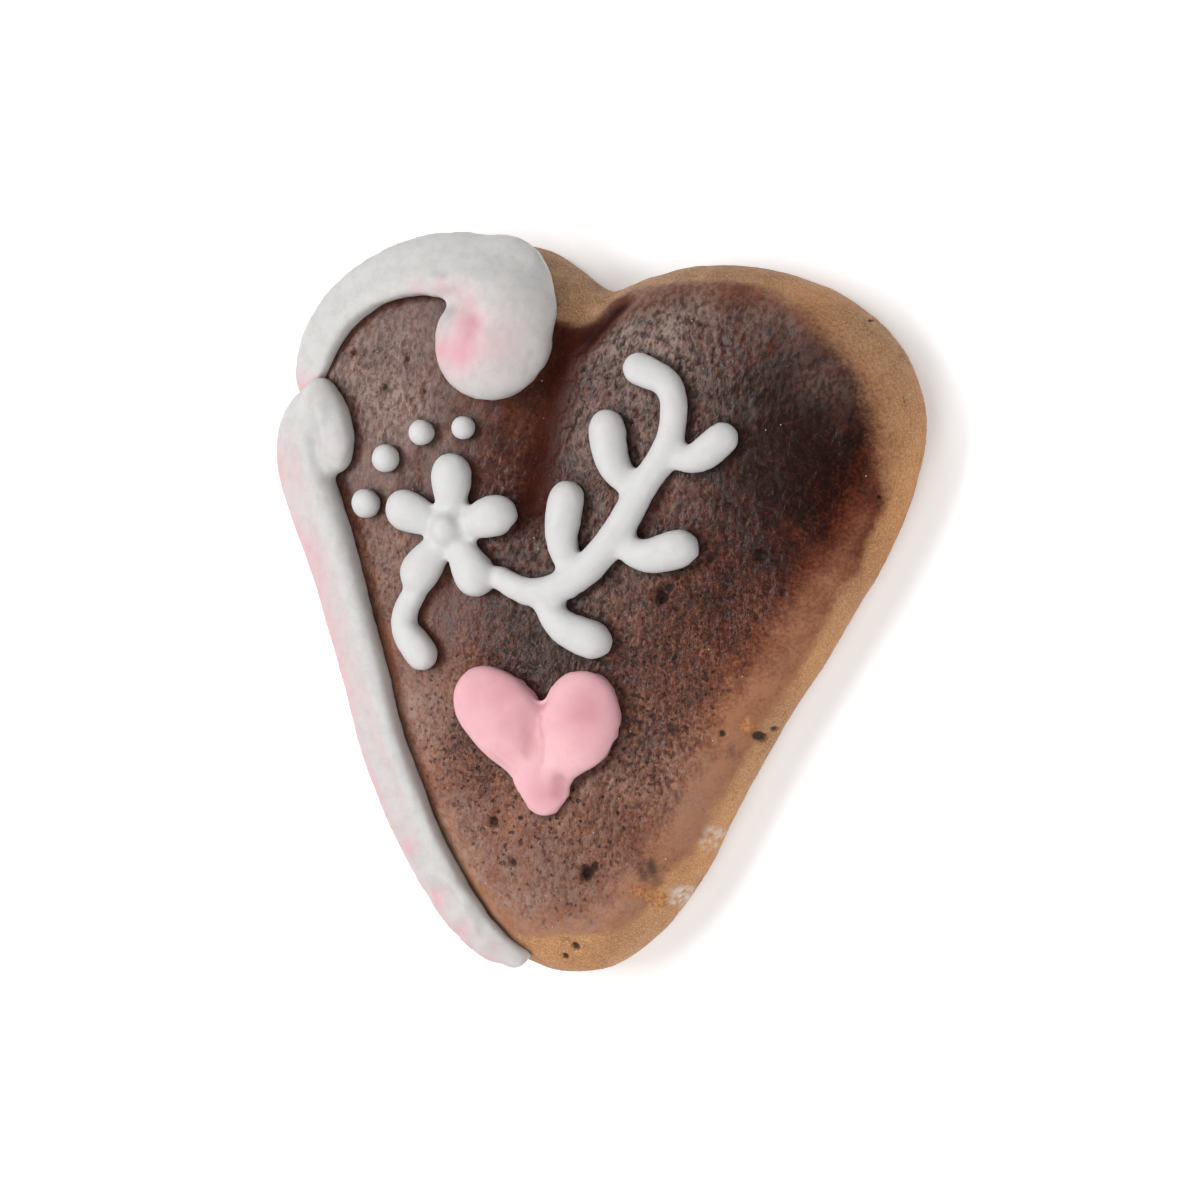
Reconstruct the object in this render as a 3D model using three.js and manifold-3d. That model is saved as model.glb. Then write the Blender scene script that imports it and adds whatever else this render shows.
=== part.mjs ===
// An iced gingerbread heart, lying on its flat underside with the icing up.
// Millimetres, +Z up, underside on Z = 0, the notch of the heart towards +Y and its point
// towards -Y. The biscuit is one solid, and each piece of piped icing rests on it.

import * as THREE from 'three';
import { mergeVertices } from 'three/addons/utils/BufferGeometryUtils.js';
import Module from 'manifold-3d';

// The biscuit, about 99 mm wide and 106 mm long
const NOTCH = [-0.1, 45.8];
const OUTLINE_ARCS = [                        // two handles and an end for each arc, clockwise
  [4.2, 46.8, 9.6, 51.0, 18.8, 51.0],         // notch to the top of the right lobe
  [36.2, 51.0, 50.2, 41.8, 50.2, 28.0],       // round the right lobe
  [50.2, 15.8, 40.1, 0.0, 32.8, -14.4],       // down the right flank
  [22.6, -33.6, 19.2, -53.4, 1.0, -53.4],     // to the blunt point
  [-11.5, -53.4, -26.0, -34.0, -32.4, -18.6], // up the left flank
  [-42.4, 4.3, -49.2, 14.0, -49.2, 22.0],     // to the widest place on the left
  [-49.2, 45.2, -30.5, 52.3, -17.5, 52.3],    // round the left lobe
  [-9.5, 52.3, -5.4, 49.0, -0.1, 45.8],       // back to the notch
];
const CENTRE = [0, 6];                        // the rings of the biscuit shrink to here
const WIDEST_HEIGHT = 3.8;                    // height of the outline over the underside
const SHOULDER_HEIGHT = 10.6;                 // where the baked edge turns into the top
const SHOULDER_WIDTH = 8.5;
const SHOULDER_ROUNDNESS = 2.1;               // 2 is an ellipse, more is squarer
const DOME_RISE = 2.6;                        // further rise of the top to its middle
const DOME_REACH = 38;
const LOWER_EDGE = [                          // inset and height of the rounded lower edge
  [2.4, 0], [1.1, 0.7], [0.35, 1.9], [0, WIDEST_HEIGHT],
];
const SHOULDER_INSETS = [0.3, 1.0, 2.1, 3.6, 5.6, 8.2];
const DOME_RINGS = 8;
const SPOKES = 104;

// Dips (negative) and swellings of the top: from x, y to x, y, with a spread and a rise
const TOP_WAVES = [
  { from: [-1.4, 43], to: [-6, 17], spread: 5.6, rise: -1.3 },  // trough from the notch
  { from: [14, 32], to: [22, 24], spread: 12, rise: 0.6 },     // swelling of the right lobe
  { from: [-28, 27], to: [-34, 22], spread: 10, rise: 0.3 },
  { from: [20, -14], to: [26, 4], spread: 7, rise: -0.4 },
];

// The icing
const ICING_GAP = 0.3;                        // clearance of the icing over the biscuit
const ICING_RIM = 2.5;                        // past this inset the icing overhangs level
const BEAD_LIFT = 0.36;                       // height of a bead's widest place, of its height
const BEAD_SIDES = 12;

// Piped strokes: a list of x, y and half width along the middle of the bead.
// plump is a bead's height over its half width, and step is about a segment's length.
// Drops: x, y, radius and height.
const SCROLL = {                              // thick arc round the left lobe, with its curl
  plump: 0.78,
  step: 2.4,
  strokes: [
    [[-44.6, 34.6, 3.6], [-42.9, 38.2, 3.8], [-39.9, 41.8, 3.9], [-35.6, 44.9, 4.1],
      [-30.8, 46.9, 4.5], [-26.2, 47.9, 4.9], [-21.0, 47.8, 5.7], [-16.5, 47.1, 6.7]],
  ],
  drops: [[-14.2, 45.0, 8.2, 4.8], [-12.4, 41.2, 7.2, 4.9], [-13.9, 37.5, 9.1, 4.9]],
};
const RUN = {                                 // hooked run down the left flank to the point
  plump: 0.86,
  step: 2.6,
  strokes: [
    [[-38.9, 18.9, 3.1], [-39.2, 23.0, 3.6], [-42.6, 26.4, 3.9]],
    [[-42.6, 26.4, 3.9], [-46.0, 23.4, 4.1], [-45.4, 17.6, 4.7], [-42.2, 11.2, 5.1],
      [-38.9, 4.6, 4.8], [-35.3, -4.0, 4.5], [-31.1, -14.0, 4.3], [-27.7, -22.6, 4.3],
      [-22.5, -32.2, 4.1], [-16.8, -40.8, 3.7], [-11.0, -47.2, 3.3], [-6.6, -50.4, 2.6],
      [-2.6, -51.8, 1.5]],
  ],
};
const HEART = {                               // small heart of two drops, meeting in a point
  plump: 0.66,
  step: 2.2,
  strokes: [
    [[-9.2, -14.9, 5.9], [-6.6, -16.4, 6.4], [-4.8, -19.0, 5.8], [-2.4, -22.0, 4.2],
      [-0.2, -25.0, 3.2], [0.8, -27.9, 2.4]],
    [[6.2, -14.5, 6.2], [6.0, -18.1, 5.6], [3.7, -21.6, 4.0], [1.7, -24.8, 3.1], [0.8, -27.9, 2.4]],
  ],
  drops: [[-0.3, -16.4, 3.0, 3.2]],
};

// The sprig in the middle: a flower, a stem that curls over, leaves and a row of dots
const FLOWER = { at: [-18, 9.5], petals: 5, turn: 0.35, inner: 4.4, outer: 7.9, tip: 3.4, eye: [2.7, 3.8] };
const SPRIG = {
  plump: 1.12,
  step: 2.2,
  strokes: [
    [[-9.4, 3.4, 1.8], [-3.6, 1.6, 2.2], [2.8, 4.0, 2.4], [8.2, 9.8, 2.4], [12.4, 17.6, 2.3],
      [16.4, 25.6, 2.2], [15.4, 32.6, 2.2], [10.0, 34.8, 2.5]],
    [[-22.8, 0.6, 1.8], [-25.0, -4.8, 2.3], [-21.2, -9.0, 2.7]],
    [[-2.6, 1.8, 1.5], [1.6, -2.6, 2.6], [6.8, -4.2, 3.0]],
    [[2.6, 4.4, 1.5], [0.4, 9.8, 2.6], [0.6, 15.2, 3.1]],
    [[8.6, 10.4, 1.5], [13.8, 8.4, 2.6], [19.0, 10.0, 3.0]],
    [[12.2, 17.2, 1.5], [7.8, 20.6, 2.6], [6.2, 25.8, 3.1]],
    [[15.4, 23.6, 1.5], [20.4, 22.6, 2.4], [24.2, 25.8, 2.6]],
  ],
};
const DOTS = [[-32.8, 12.1, 2.4, 2.7], [-29.8, 19.0, 2.3, 2.6], [-24.0, 23.2, 2.1, 2.4],
  [-17.2, 24.4, 1.9, 2.1]];

const WHITE = { color: 0xe9e6e2, roughness: 0.45, metalness: 0 };
const PINK = { color: 0xf4c0c4, roughness: 0.45, metalness: 0 };
const BAKED = { color: 0x5a3a2e, roughness: 0.5, metalness: 0 };

const wasm = await Module();
wasm.setup();

// ---------------------------------------------------------------- shape of the biscuit's top

function outlineShape() {
  const shape = new THREE.Shape();
  shape.moveTo(...NOTCH);
  for (const arc of OUTLINE_ARCS) shape.bezierCurveTo(...arc);
  return shape;
}

const outline = outlineShape().getSpacedPoints(420);

// Distance from a place to the straight stretch between two points
function distanceToStretch(x, y, from, to) {
  const [dx, dy] = [to[0] - from[0], to[1] - from[1]];
  const along = ((x - from[0]) * dx + (y - from[1]) * dy) / (dx * dx + dy * dy || 1);
  const t = THREE.MathUtils.clamp(along, 0, 1);
  return Math.hypot(x - from[0] - t * dx, y - from[1] - t * dy);
}

// How far a place lies inside the outline, negative outside it
function insetAt(x, y) {
  let nearest = Infinity;
  let inside = false;
  for (let i = 0; i < outline.length - 1; i++) {
    const [a, b] = [outline[i], outline[i + 1]];
    nearest = Math.min(nearest, distanceToStretch(x, y, [a.x, a.y], [b.x, b.y]));
    if ((a.y > y) !== (b.y > y) && x < a.x + ((y - a.y) * (b.x - a.x)) / (b.y - a.y)) inside = !inside;
  }
  return inside ? nearest : -nearest;
}

// Height of the top where the inset is given: round shoulder, then a shallow dome
function topHeight(x, y, inset) {
  const edge = 1 - THREE.MathUtils.clamp(inset / SHOULDER_WIDTH, 0, 1);
  const shoulder = (1 - edge ** SHOULDER_ROUNDNESS) ** (1 / SHOULDER_ROUNDNESS);
  const reach = 1 - THREE.MathUtils.clamp(inset / DOME_REACH, 0, 1);
  let height = WIDEST_HEIGHT + (SHOULDER_HEIGHT - WIDEST_HEIGHT) * shoulder;
  height += DOME_RISE * (1 - reach * reach);
  for (const wave of TOP_WAVES) {
    const away = distanceToStretch(x, y, wave.from, wave.to) / wave.spread;
    height += wave.rise * Math.exp(-away * away) * shoulder;
  }
  return height;
}

// Height of the underside of the icing, which overhangs the rim without drooping
function icingBase(x, y) {
  return topHeight(x, y, Math.max(insetAt(x, y), ICING_RIM)) + ICING_GAP;
}

// ---------------------------------------------------------------- closed bodies

// Shared vertices, no flat triangles, and every vertex moved by place(vertex)
function closedBody(geometry, place) {
  geometry.deleteAttribute('normal');
  geometry.deleteAttribute('uv');
  const merged = mergeVertices(geometry, 1e-5);
  const faces = [];
  for (let i = 0; i < merged.index.count; i += 3) {
    const face = [0, 1, 2].map((k) => merged.index.getX(i + k));
    if (new Set(face).size === 3) faces.push(...face);
  }
  merged.setIndex(faces);
  const vertex = new THREE.Vector3();
  const at = merged.getAttribute('position');
  for (let i = 0; i < at.count; i++) {
    place(vertex.fromBufferAttribute(at, i));
    at.setXYZ(i, vertex.x, vertex.y, vertex.z);
  }
  return merged;
}

function toManifold(geometry) {
  const mesh = new wasm.Mesh({
    numProp: 3,
    vertProperties: new Float32Array(geometry.getAttribute('position').array),
    triVerts: new Uint32Array(geometry.index.array),
  });
  return new wasm.Manifold(mesh);
}

function fuse(geometries) {
  const solid = geometries.map(toManifold).reduce((all, one) => all.add(one)).getMesh();
  const geometry = new THREE.BufferGeometry();
  geometry.setAttribute('position', new THREE.BufferAttribute(solid.vertProperties, 3));
  geometry.setIndex(new THREE.BufferAttribute(solid.triVerts, 1));
  return geometry;
}

function piece(name, geometry, look) {
  const mesh = new THREE.Mesh(geometry, new THREE.MeshStandardMaterial(look));
  mesh.name = name;
  return mesh;
}

// ---------------------------------------------------------------- the biscuit

// A lathe gives the rings; each ring then takes the outline's form at its own inset
function biscuit() {
  const rings = [{ scale: 0, height: 0 }];
  for (const [inset, height] of LOWER_EDGE) rings.push({ inset, height });
  for (const inset of SHOULDER_INSETS) rings.push({ inset });
  const last = SHOULDER_INSETS.at(-1);
  for (let i = 1; i <= DOME_RINGS; i++) rings.push({ inset: last, scale: 1 - i / DOME_RINGS });

  const profile = rings.map((ring, i) => new THREE.Vector2(ring.scale === 0 ? 0 : 1, i));
  const spokes = outlineShape().getSpacedPoints(SPOKES);
  return closedBody(new THREE.LatheGeometry(profile, SPOKES), (vertex) => {
    const ring = rings[Math.round(vertex.y)];
    const turn = Math.atan2(vertex.x, vertex.z) / (2 * Math.PI);
    const rim = spokes[Math.round((1 - turn) * SPOKES) % SPOKES];
    const arm = new THREE.Vector2(rim.x - CENTRE[0], rim.y - CENTRE[1]);
    arm.multiplyScalar((1 - (ring.inset ?? 0) / arm.length()) * (ring.scale ?? 1));
    const [x, y] = [CENTRE[0] + arm.x, CENTRE[1] + arm.y];
    vertex.set(x, y, ring.height ?? topHeight(x, y, insetAt(x, y)));
  });
}

// ---------------------------------------------------------------- the icing

// Height in a bead's section over its flat foot, for a round section's height of -1 to 1
function beadHeight(up, height) {
  if (up > 0) return height * (BEAD_LIFT + (1 - BEAD_LIFT) * up);
  return height * BEAD_LIFT * Math.max(0, 1 + up / 0.62);
}

function bead(stroke, plump, step) {
  const line = new THREE.CatmullRomCurve3(stroke.map((p) => new THREE.Vector3(...p)));
  const segments = Math.max(3, Math.round(line.getLength() / step));
  const length = 2;
  const capsule = new THREE.CapsuleGeometry(1, length, 3, BEAD_SIDES, segments);
  return closedBody(capsule, (vertex) => {
    const { x: side, y: along, z: up } = vertex;
    const t = THREE.MathUtils.clamp(along / length + 0.5, 0, 1);
    const middle = line.getPoint(t);
    const ahead = line.getTangent(t);
    const flat = Math.hypot(ahead.x, ahead.y);
    const [ax, ay] = [ahead.x / flat, ahead.y / flat];
    const past = (along - (t - 0.5) * length) * middle.z;
    const x = middle.x + ax * past + ay * side * middle.z;
    const y = middle.y + ay * past - ax * side * middle.z;
    vertex.set(x, y, icingBase(x, y) + beadHeight(up, middle.z * plump));
  });
}

function drop([cx, cy, radius, height]) {
  const sides = Math.round(BEAD_SIDES * Math.max(1, radius / 5));
  const ball = new THREE.SphereGeometry(1, sides, Math.ceil(sides / 2)).rotateX(Math.PI / 2);
  return closedBody(ball, (vertex) => {
    const [x, y] = [cx + radius * vertex.x, cy + radius * vertex.y];
    vertex.set(x, y, icingBase(x, y) + beadHeight(vertex.z, height));
  });
}

function piping({ strokes, plump, step, drops = [] }) {
  return [...strokes.map((stroke) => bead(stroke, plump, step)), ...drops.map(drop)];
}

function flower({ at, petals, turn, inner, outer, tip, eye }) {
  const parts = [drop([...at, ...eye])];
  for (let i = 0; i < petals; i++) {
    const angle = turn + (2 * Math.PI * i) / petals;
    const reach = (r, w) => [at[0] + r * Math.cos(angle), at[1] + r * Math.sin(angle), w];
    parts.push(bead([reach(1.5, 1.5), reach(inner, 0.8 * tip), reach(outer, tip)], 1, SPRIG.step));
  }
  return parts;
}

// ---------------------------------------------------------------- the whole thing

const gingerbreadHeart = new THREE.Group();
gingerbreadHeart.add(piece('gingerbread', biscuit(), BAKED));
gingerbreadHeart.add(piece('border_scroll', fuse(piping(SCROLL)), WHITE));
gingerbreadHeart.add(piece('border_run', fuse(piping(RUN)), WHITE));
gingerbreadHeart.add(piece('flower_sprig', fuse([...flower(FLOWER), ...piping(SPRIG)]), WHITE));
DOTS.forEach((dot, i) => gingerbreadHeart.add(piece(`dot_${i + 1}`, drop(dot), WHITE)));
gingerbreadHeart.add(piece('pink_heart', fuse(piping(HEART)), PINK));

// The middle of the whole, icing included, goes over the origin
const middle = new THREE.Box3().setFromObject(gingerbreadHeart).getCenter(new THREE.Vector3());
gingerbreadHeart.position.set(-middle.x, -middle.y, 0);

export default gingerbreadHeart;
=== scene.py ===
# Iced gingerbread heart: baked dough under a dark cocoa glaze, with piped sugar icing

import math

import bmesh
import bpy
import numpy as np
from mathutils import Matrix, Vector
from mathutils.bvhtree import BVHTree


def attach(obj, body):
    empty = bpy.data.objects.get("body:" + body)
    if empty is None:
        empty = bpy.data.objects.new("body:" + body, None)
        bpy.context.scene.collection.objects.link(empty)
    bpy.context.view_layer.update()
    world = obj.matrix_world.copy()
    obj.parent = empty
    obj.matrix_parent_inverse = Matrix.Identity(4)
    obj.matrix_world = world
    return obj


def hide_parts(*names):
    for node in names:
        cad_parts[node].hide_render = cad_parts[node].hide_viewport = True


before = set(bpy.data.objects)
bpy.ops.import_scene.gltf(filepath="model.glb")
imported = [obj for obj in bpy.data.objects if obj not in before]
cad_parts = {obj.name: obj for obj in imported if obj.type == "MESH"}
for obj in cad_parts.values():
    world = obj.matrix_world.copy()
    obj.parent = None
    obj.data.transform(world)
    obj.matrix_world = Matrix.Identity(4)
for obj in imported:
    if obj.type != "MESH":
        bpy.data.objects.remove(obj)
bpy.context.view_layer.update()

mm = 0.001                                      # shapes are worked out in mm, and set in metres
scene = bpy.context.scene


class Wire:                                     # an output socket that takes part in sums
    def __init__(self, finish, socket):
        self.finish = finish
        self.socket = socket

    def sum(self, operation, a, b):
        return self.finish.add("Math", {"operation": operation}, {0: a, 1: b})

    def __add__(self, other):
        return self.sum("ADD", self, other)

    def __radd__(self, other):
        return self.sum("ADD", other, self)

    def __sub__(self, other):
        return self.sum("SUBTRACT", self, other)

    def __rsub__(self, other):
        return self.sum("SUBTRACT", other, self)

    def __mul__(self, other):
        return self.sum("MULTIPLY", self, other)

    def __rmul__(self, other):
        return self.sum("MULTIPLY", other, self)


class Finish:                                   # one material and its nodes
    def __init__(self, name):
        self.material = bpy.data.materials.new(name)
        self.material.use_nodes = True
        self.tree = self.material.node_tree
        self.shader = self.tree.nodes["Principled BSDF"]

    def join(self, socket, value):
        if isinstance(value, Wire):
            self.tree.links.new(value.socket, socket)
        elif isinstance(value, tuple) and len(value) == 3 and socket.type == "RGBA":
            socket.default_value = (*value, 1)
        else:
            socket.default_value = value

    def add(self, kind, settings, sockets, out=0):
        made = self.tree.nodes.new("ShaderNode" + kind)
        for name, value in settings.items():
            if name == "stops":
                ramp = made.color_ramp
                while len(ramp.elements) < len(value):
                    ramp.elements.new(1)
                for stop, (place, colour) in zip(ramp.elements, value):
                    stop.position = place
                    stop.color = (*colour, 1)
            else:
                setattr(made, name, value)
        for name, value in sockets.items():
            self.join(made.inputs[name], value)
        return Wire(self, made.outputs[out])

    def attribute(self, name):
        return self.add("Attribute", {"attribute_name": name}, {}, "Fac")

    def place(self):
        return self.add("TexCoord", {}, {}, "Object")

    def noise(self, size, detail, rough, at=None):      # size in mm
        sockets = {"Vector": at or self.place(), "Scale": 1 / (size * mm), "Detail": detail,
                   "Roughness": rough}
        return self.add("TexNoise", {}, sockets, "Fac")

    def cells(self, size):                      # distance to the nearest of scattered points
        sockets = {"Vector": self.place(), "Scale": 1 / (size * mm)}
        return self.add("TexVoronoi", {}, sockets, "Distance")

    def fade(self, wire, low, high):            # 0 at low, 1 at high
        settings = {"interpolation_type": "SMOOTHSTEP", "clamp": True}
        sockets = {"Value": wire, "From Min": low, "From Max": high}
        return self.add("MapRange", settings, sockets)

    def mix(self, factor, a, b):                # two colours
        return self.add("Mix", {"data_type": "RGBA"}, {0: factor, 6: a, 7: b}, 2)

    def bump(self, height, strength, distance):
        sockets = {"Strength": strength, "Distance": distance * mm, "Height": height}
        return self.add("Bump", {}, sockets, "Normal")

    def set(self, sockets):
        for name, value in sockets.items():
            self.join(self.shader.inputs[name], value)


def paint(red, green, blue):                    # 8-bit screen colour to the shader's own
    def linear(c):
        c = c / 255
        return c / 12.92 if c <= 0.04045 else ((c + 0.055) / 1.055) ** 2.4
    return (linear(red), linear(green), linear(blue))


def evaluated(piece):                           # applies the piece's modifiers
    graph = bpy.context.evaluated_depsgraph_get()
    mesh = bpy.data.meshes.new_from_object(piece.evaluated_get(graph))
    piece.modifiers.clear()
    old = piece.data
    piece.data = mesh
    bpy.data.meshes.remove(old)


def copyOf(node, name):                         # a piece that starts as the solid, in large faces
    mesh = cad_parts[node].data.copy()
    mesh.materials.clear()
    weld, flat = 0.002 * mm, math.radians(40)
    shape = bmesh.new()
    shape.from_mesh(mesh)
    bmesh.ops.remove_doubles(shape, verts=shape.verts, dist=weld)
    bmesh.ops.join_triangles(shape, faces=shape.faces, angle_face_threshold=flat,
                             angle_shape_threshold=flat)
    shape.to_mesh(mesh)
    shape.free()
    piece = bpy.data.objects.new(name, mesh)
    scene.collection.objects.link(piece)
    return piece


def remesh(piece, voxel, levels):               # rounded by so many subdivisions, then even quads
    if levels:
        step = piece.modifiers.new("rounder", "SUBSURF")
        step.levels = levels
    step = piece.modifiers.new("even", "REMESH")
    step.mode = "VOXEL"
    step.voxel_size = voxel * mm
    evaluated(piece)


def points(piece):
    values = np.empty(3 * len(piece.data.vertices))
    piece.data.vertices.foreach_get("co", values)
    return values.reshape(-1, 3) / mm


def normals(piece):
    values = np.empty(3 * len(piece.data.vertices))
    piece.data.vertices.foreach_get("normal", values)
    return values.reshape(-1, 3)


def setPoints(piece, values):
    piece.data.vertices.foreach_set("co", (values * mm).ravel())
    piece.data.update()


def smooth(piece, rounds):                      # Taubin smoothing, which keeps the volume
    shrink, grow = 0.62, -0.64
    count = len(piece.data.edges)
    ends = np.empty(2 * count, int)
    piece.data.edges.foreach_get("vertices", ends)
    a, b = ends.reshape(-1, 2).T
    at = points(piece)
    degree = np.bincount(np.concatenate([a, b]), minlength=len(at))[:, None]
    for turn in range(2 * rounds):
        total = np.zeros_like(at)
        for axis in range(3):
            total[:, axis] = (np.bincount(a, at[b, axis], len(at))
                              + np.bincount(b, at[a, axis], len(at)))
        at += (shrink if turn % 2 == 0 else grow) * (total / degree - at)
    setPoints(piece, at)


def store(piece, name, values):
    layer = piece.data.attributes.new(name, "FLOAT", "POINT")
    layer.data.foreach_set("value", values.astype(np.float32))


def fade(values, low, high):                    # 0 at low, 1 at high
    t = np.clip((values - low) / (high - low), 0, 1)
    return t * t * (3 - 2 * t)


shuffled = np.random.default_rng(5).permutation(256)
slopes = np.random.default_rng(6).normal(size=(256, 3))
slopes *= 1.25 / np.linalg.norm(slopes, axis=1)[:, None]


def lots(cell):                                 # one number from 0 to 255 for each cell of a grid
    x, y, z = cell.T & 255
    return shuffled[(shuffled[(shuffled[x] + y) & 255] + z) & 255]


def noiseAt(at, size, seed=0, octaves=1):       # gradient noise, about -1 to 1
    finer, shift = 2.1, 7.31                    # from one octave to the next, and for each seed
    total = np.zeros(len(at))
    for octave in range(octaves):
        spot = at * (finer ** octave / size) + seed * shift
        cell = np.floor(spot).astype(int)
        part = spot - cell
        ease = part ** 3 * (part * (part * 6 - 15) + 10)
        for corner in np.ndindex(2, 2, 2):
            share = np.prod(np.where(corner, ease, 1 - ease), axis=1)
            slope = slopes[lots(cell + corner)]
            total += 0.5 ** octave * share * np.sum(slope * (part - corner), axis=1)
    return total


def cellsAt(at, size, seed=0):                  # distance to the nearest scattered point, its lot
    shift, scatter = 3.7, 0.4
    spot = at / size + seed * shift
    cell = np.floor(spot).astype(int)
    nearest, lot = np.full(len(at), 9.0), np.zeros(len(at))
    for near in np.ndindex(3, 3, 3):
        other = cell + near - 1
        pick = lots(other)
        away = np.linalg.norm(spot - other - 0.5 - scatter * slopes[pick], axis=1)
        lot = np.where(away < nearest, pick / 255, lot)
        nearest = np.minimum(nearest, away)
    return nearest, lot


def fromLine(at, line):                         # plan distance to a line of points
    best = np.full(len(at), 99.0)
    for (ax, ay), (bx, by) in zip(line[:-1], line[1:]):
        dx, dy = bx - ax, by - ay
        t = np.clip(((at[:, 0] - ax) * dx + (at[:, 1] - ay) * dy) / (dx * dx + dy * dy), 0, 1)
        best = np.minimum(best, np.hypot(at[:, 0] - ax - t * dx, at[:, 1] - ay - t * dy))
    return best


def groove(at, line, width):                    # 1 along the line, fading to its sides
    return np.exp(-(fromLine(at, line) / width) ** 2)


def patch(at, x, y, reach, power=2):            # soft round patch, 1 in its middle
    return np.exp(-(np.hypot(at[:, 0] - x, at[:, 1] - y) / reach) ** power)


def patches(at, spots, power=3):                # the strongest of some spots at each point
    total = np.zeros(len(at))
    for x, y, reach, strength in spots:
        total = np.maximum(total, strength * patch(at, x, y, reach, power))
    return total


def heaped(at, spots):                          # such spots added up
    return sum(strength * patch(at, x, y, reach) for x, y, reach, strength in spots)


def finishPiece(piece, node, material):
    piece.data.materials.append(material)
    piece.data.shade_smooth()
    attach(piece, "root")
    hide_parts(node)


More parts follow.
